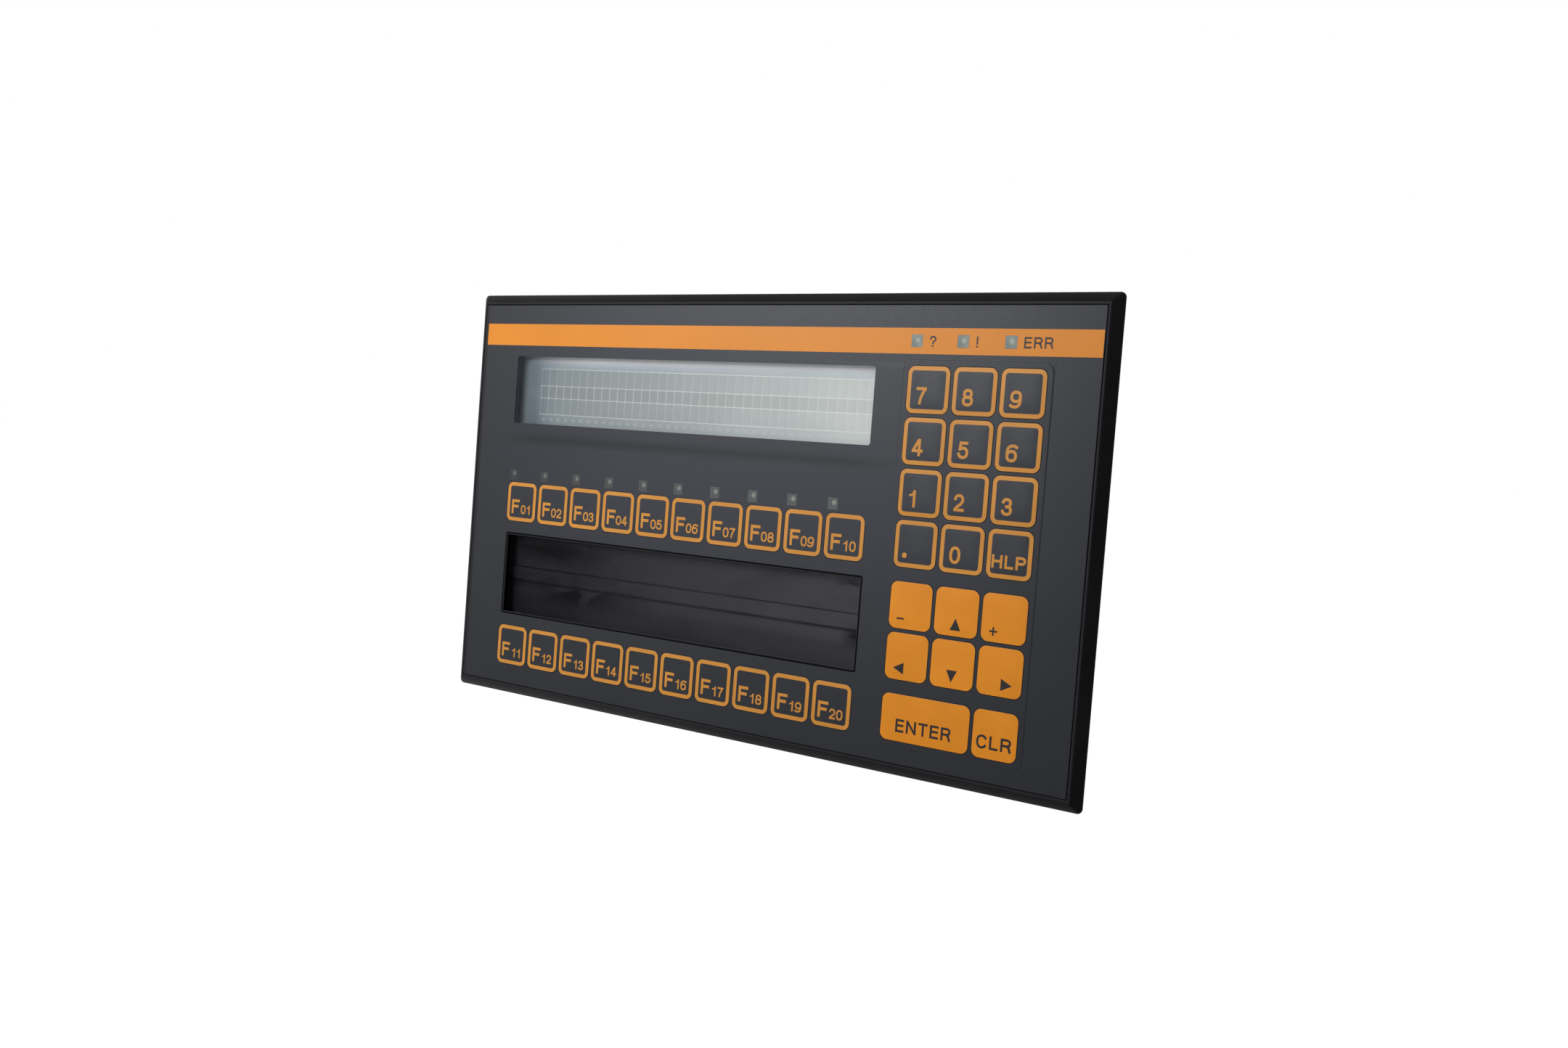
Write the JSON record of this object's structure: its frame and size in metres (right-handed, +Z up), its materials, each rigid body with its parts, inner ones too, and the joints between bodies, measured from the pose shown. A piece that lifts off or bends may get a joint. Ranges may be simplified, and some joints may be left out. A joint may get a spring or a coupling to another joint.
{
  "type": "membrane key operator terminal",
  "caption": "Flush-mounted operator panel with embossed membrane keys, a wide text display, a label pocket and a vented rear housing.",
  "frame": {"origin": "middle of the front plate's rear face, in the plane that lies against the cabinet sheet", "axes": "+X to the operator's right along the long side, +Z up, +Y into the cabinet"},
  "size_m": [0.2436, 0.0474, 0.1422],
  "materials": {
    "frame": "satin black moulding",
    "printed_foil": "fine matt polyester foil, printed from behind",
    "clear_film": "clear polyester foil",
    "spacer_film": "matt adhesive film",
    "circuit_film": "printed polyester film",
    "spring_steel": "bright",
    "led_chip": "gloss",
    "tray": "matt black moulding",
    "display_glass": "clear glass over a reflective film",
    "display_bezel": "satin black",
    "circuit_board": "green solder mask",
    "plated_steel": "zinc plated",
    "housing_sheet": "zinc plated sheet",
    "gasket": "matt closed-cell foam",
    "connector_shell": "tin plated",
    "terminal_block": "moulded green",
    "key_print": "fine matt foil, printed outline",
    "key_colour": "fine matt foil, printed colour"
  },
  "bodies": {
    "panel": {"front_frame": "frame", "keypad_foil": "printed_foil", "foil_windows": "clear_film", "spacer_sheet": "spacer_film", "circuit_sheet": "circuit_film", "snap_domes": "spring_steel", "indicator_leds": "led_chip", "label_tray": "tray", "lcd_glass": "display_glass", "lcd_bezel": "display_bezel", "lcd_board": "circuit_board", "main_board": "circuit_board", "board_pillars": "plated_steel", "cover_pillars": "plated_steel", "cover_screws": "plated_steel", "rear_housing": "housing_sheet", "panel_gasket": "gasket", "mounting_studs": "plated_steel", "data_connector": "connector_shell", "power_terminal": "terminal_block"},
    "key_f01": {"key_f01": "key_print"},
    "key_f02": {"key_f02": "key_print"},
    "key_f03": {"key_f03": "key_print"},
    "key_f04": {"key_f04": "key_print"},
    "key_f05": {"key_f05": "key_print"},
    "key_f06": {"key_f06": "key_print"},
    "key_f07": {"key_f07": "key_print"},
    "key_f08": {"key_f08": "key_print"},
    "key_f09": {"key_f09": "key_print"},
    "key_f10": {"key_f10": "key_print"},
    "key_f11": {"key_f11": "key_print"},
    "key_f12": {"key_f12": "key_print"},
    "key_f13": {"key_f13": "key_print"},
    "key_f14": {"key_f14": "key_print"},
    "key_f15": {"key_f15": "key_print"},
    "key_f16": {"key_f16": "key_print"},
    "key_f17": {"key_f17": "key_print"},
    "key_f18": {"key_f18": "key_print"},
    "key_f19": {"key_f19": "key_print"},
    "key_f20": {"key_f20": "key_print"},
    "key_7": {"key_7": "key_print"},
    "key_8": {"key_8": "key_print"},
    "key_9": {"key_9": "key_print"},
    "key_4": {"key_4": "key_print"},
    "key_5": {"key_5": "key_print"},
    "key_6": {"key_6": "key_print"},
    "key_1": {"key_1": "key_print"},
    "key_2": {"key_2": "key_print"},
    "key_3": {"key_3": "key_print"},
    "key_point": {"key_point": "key_print"},
    "key_0": {"key_0": "key_print"},
    "key_help": {"key_help": "key_print"},
    "key_minus": {"key_minus": "key_colour"},
    "key_up": {"key_up": "key_colour"},
    "key_plus": {"key_plus": "key_colour"},
    "key_left": {"key_left": "key_colour"},
    "key_down": {"key_down": "key_colour"},
    "key_right": {"key_right": "key_colour"},
    "key_enter": {"key_enter": "key_colour"},
    "key_clear": {"key_clear": "key_colour"}
  },
  "joints": [
    {"name": "key_f01_press", "type": "slide", "parent": "panel", "child": "key_f01", "axis": [0, 1, 0], "range_m": [0, 0.0005], "stiffness_N_per_m": 600, "springref_m": -0.001},
    {"name": "key_f02_press", "type": "slide", "parent": "panel", "child": "key_f02", "axis": [0, 1, 0], "range_m": [0, 0.0005], "stiffness_N_per_m": 600, "springref_m": -0.001},
    {"name": "key_f03_press", "type": "slide", "parent": "panel", "child": "key_f03", "axis": [0, 1, 0], "range_m": [0, 0.0005], "stiffness_N_per_m": 600, "springref_m": -0.001},
    {"name": "key_f04_press", "type": "slide", "parent": "panel", "child": "key_f04", "axis": [0, 1, 0], "range_m": [0, 0.0005], "stiffness_N_per_m": 600, "springref_m": -0.001},
    {"name": "key_f05_press", "type": "slide", "parent": "panel", "child": "key_f05", "axis": [0, 1, 0], "range_m": [0, 0.0005], "stiffness_N_per_m": 600, "springref_m": -0.001},
    {"name": "key_f06_press", "type": "slide", "parent": "panel", "child": "key_f06", "axis": [0, 1, 0], "range_m": [0, 0.0005], "stiffness_N_per_m": 600, "springref_m": -0.001},
    {"name": "key_f07_press", "type": "slide", "parent": "panel", "child": "key_f07", "axis": [0, 1, 0], "range_m": [0, 0.0005], "stiffness_N_per_m": 600, "springref_m": -0.001},
    {"name": "key_f08_press", "type": "slide", "parent": "panel", "child": "key_f08", "axis": [0, 1, 0], "range_m": [0, 0.0005], "stiffness_N_per_m": 600, "springref_m": -0.001},
    {"name": "key_f09_press", "type": "slide", "parent": "panel", "child": "key_f09", "axis": [0, 1, 0], "range_m": [0, 0.0005], "stiffness_N_per_m": 600, "springref_m": -0.001},
    {"name": "key_f10_press", "type": "slide", "parent": "panel", "child": "key_f10", "axis": [0, 1, 0], "range_m": [0, 0.0005], "stiffness_N_per_m": 600, "springref_m": -0.001},
    {"name": "key_f11_press", "type": "slide", "parent": "panel", "child": "key_f11", "axis": [0, 1, 0], "range_m": [0, 0.0005], "stiffness_N_per_m": 600, "springref_m": -0.001},
    {"name": "key_f12_press", "type": "slide", "parent": "panel", "child": "key_f12", "axis": [0, 1, 0], "range_m": [0, 0.0005], "stiffness_N_per_m": 600, "springref_m": -0.001},
    {"name": "key_f13_press", "type": "slide", "parent": "panel", "child": "key_f13", "axis": [0, 1, 0], "range_m": [0, 0.0005], "stiffness_N_per_m": 600, "springref_m": -0.001},
    {"name": "key_f14_press", "type": "slide", "parent": "panel", "child": "key_f14", "axis": [0, 1, 0], "range_m": [0, 0.0005], "stiffness_N_per_m": 600, "springref_m": -0.001},
    {"name": "key_f15_press", "type": "slide", "parent": "panel", "child": "key_f15", "axis": [0, 1, 0], "range_m": [0, 0.0005], "stiffness_N_per_m": 600, "springref_m": -0.001},
    {"name": "key_f16_press", "type": "slide", "parent": "panel", "child": "key_f16", "axis": [0, 1, 0], "range_m": [0, 0.0005], "stiffness_N_per_m": 600, "springref_m": -0.001},
    {"name": "key_f17_press", "type": "slide", "parent": "panel", "child": "key_f17", "axis": [0, 1, 0], "range_m": [0, 0.0005], "stiffness_N_per_m": 600, "springref_m": -0.001},
    {"name": "key_f18_press", "type": "slide", "parent": "panel", "child": "key_f18", "axis": [0, 1, 0], "range_m": [0, 0.0005], "stiffness_N_per_m": 600, "springref_m": -0.001},
    {"name": "key_f19_press", "type": "slide", "parent": "panel", "child": "key_f19", "axis": [0, 1, 0], "range_m": [0, 0.0005], "stiffness_N_per_m": 600, "springref_m": -0.001},
    {"name": "key_f20_press", "type": "slide", "parent": "panel", "child": "key_f20", "axis": [0, 1, 0], "range_m": [0, 0.0005], "stiffness_N_per_m": 600, "springref_m": -0.001},
    {"name": "key_7_press", "type": "slide", "parent": "panel", "child": "key_7", "axis": [0, 1, 0], "range_m": [0, 0.0005], "stiffness_N_per_m": 600, "springref_m": -0.001},
    {"name": "key_8_press", "type": "slide", "parent": "panel", "child": "key_8", "axis": [0, 1, 0], "range_m": [0, 0.0005], "stiffness_N_per_m": 600, "springref_m": -0.001},
    {"name": "key_9_press", "type": "slide", "parent": "panel", "child": "key_9", "axis": [0, 1, 0], "range_m": [0, 0.0005], "stiffness_N_per_m": 600, "springref_m": -0.001},
    {"name": "key_4_press", "type": "slide", "parent": "panel", "child": "key_4", "axis": [0, 1, 0], "range_m": [0, 0.0005], "stiffness_N_per_m": 600, "springref_m": -0.001},
    {"name": "key_5_press", "type": "slide", "parent": "panel", "child": "key_5", "axis": [0, 1, 0], "range_m": [0, 0.0005], "stiffness_N_per_m": 600, "springref_m": -0.001},
    {"name": "key_6_press", "type": "slide", "parent": "panel", "child": "key_6", "axis": [0, 1, 0], "range_m": [0, 0.0005], "stiffness_N_per_m": 600, "springref_m": -0.001},
    {"name": "key_1_press", "type": "slide", "parent": "panel", "child": "key_1", "axis": [0, 1, 0], "range_m": [0, 0.0005], "stiffness_N_per_m": 600, "springref_m": -0.001},
    {"name": "key_2_press", "type": "slide", "parent": "panel", "child": "key_2", "axis": [0, 1, 0], "range_m": [0, 0.0005], "stiffness_N_per_m": 600, "springref_m": -0.001},
    {"name": "key_3_press", "type": "slide", "parent": "panel", "child": "key_3", "axis": [0, 1, 0], "range_m": [0, 0.0005], "stiffness_N_per_m": 600, "springref_m": -0.001},
    {"name": "key_point_press", "type": "slide", "parent": "panel", "child": "key_point", "axis": [0, 1, 0], "range_m": [0, 0.0005], "stiffness_N_per_m": 600, "springref_m": -0.001},
    {"name": "key_0_press", "type": "slide", "parent": "panel", "child": "key_0", "axis": [0, 1, 0], "range_m": [0, 0.0005], "stiffness_N_per_m": 600, "springref_m": -0.001},
    {"name": "key_help_press", "type": "slide", "parent": "panel", "child": "key_help", "axis": [0, 1, 0], "range_m": [0, 0.0005], "stiffness_N_per_m": 600, "springref_m": -0.001},
    {"name": "key_minus_press", "type": "slide", "parent": "panel", "child": "key_minus", "axis": [0, 1, 0], "range_m": [0, 0.0005], "stiffness_N_per_m": 600, "springref_m": -0.001},
    {"name": "key_up_press", "type": "slide", "parent": "panel", "child": "key_up", "axis": [0, 1, 0], "range_m": [0, 0.0005], "stiffness_N_per_m": 600, "springref_m": -0.001},
    {"name": "key_plus_press", "type": "slide", "parent": "panel", "child": "key_plus", "axis": [0, 1, 0], "range_m": [0, 0.0005], "stiffness_N_per_m": 600, "springref_m": -0.001},
    {"name": "key_left_press", "type": "slide", "parent": "panel", "child": "key_left", "axis": [0, 1, 0], "range_m": [0, 0.0005], "stiffness_N_per_m": 600, "springref_m": -0.001},
    {"name": "key_down_press", "type": "slide", "parent": "panel", "child": "key_down", "axis": [0, 1, 0], "range_m": [0, 0.0005], "stiffness_N_per_m": 600, "springref_m": -0.001},
    {"name": "key_right_press", "type": "slide", "parent": "panel", "child": "key_right", "axis": [0, 1, 0], "range_m": [0, 0.0005], "stiffness_N_per_m": 600, "springref_m": -0.001},
    {"name": "key_enter_press", "type": "slide", "parent": "panel", "child": "key_enter", "axis": [0, 1, 0], "range_m": [0, 0.0005], "stiffness_N_per_m": 600, "springref_m": -0.001},
    {"name": "key_clear_press", "type": "slide", "parent": "panel", "child": "key_clear", "axis": [0, 1, 0], "range_m": [0, 0.0005], "stiffness_N_per_m": 600, "springref_m": -0.001}
  ]
}
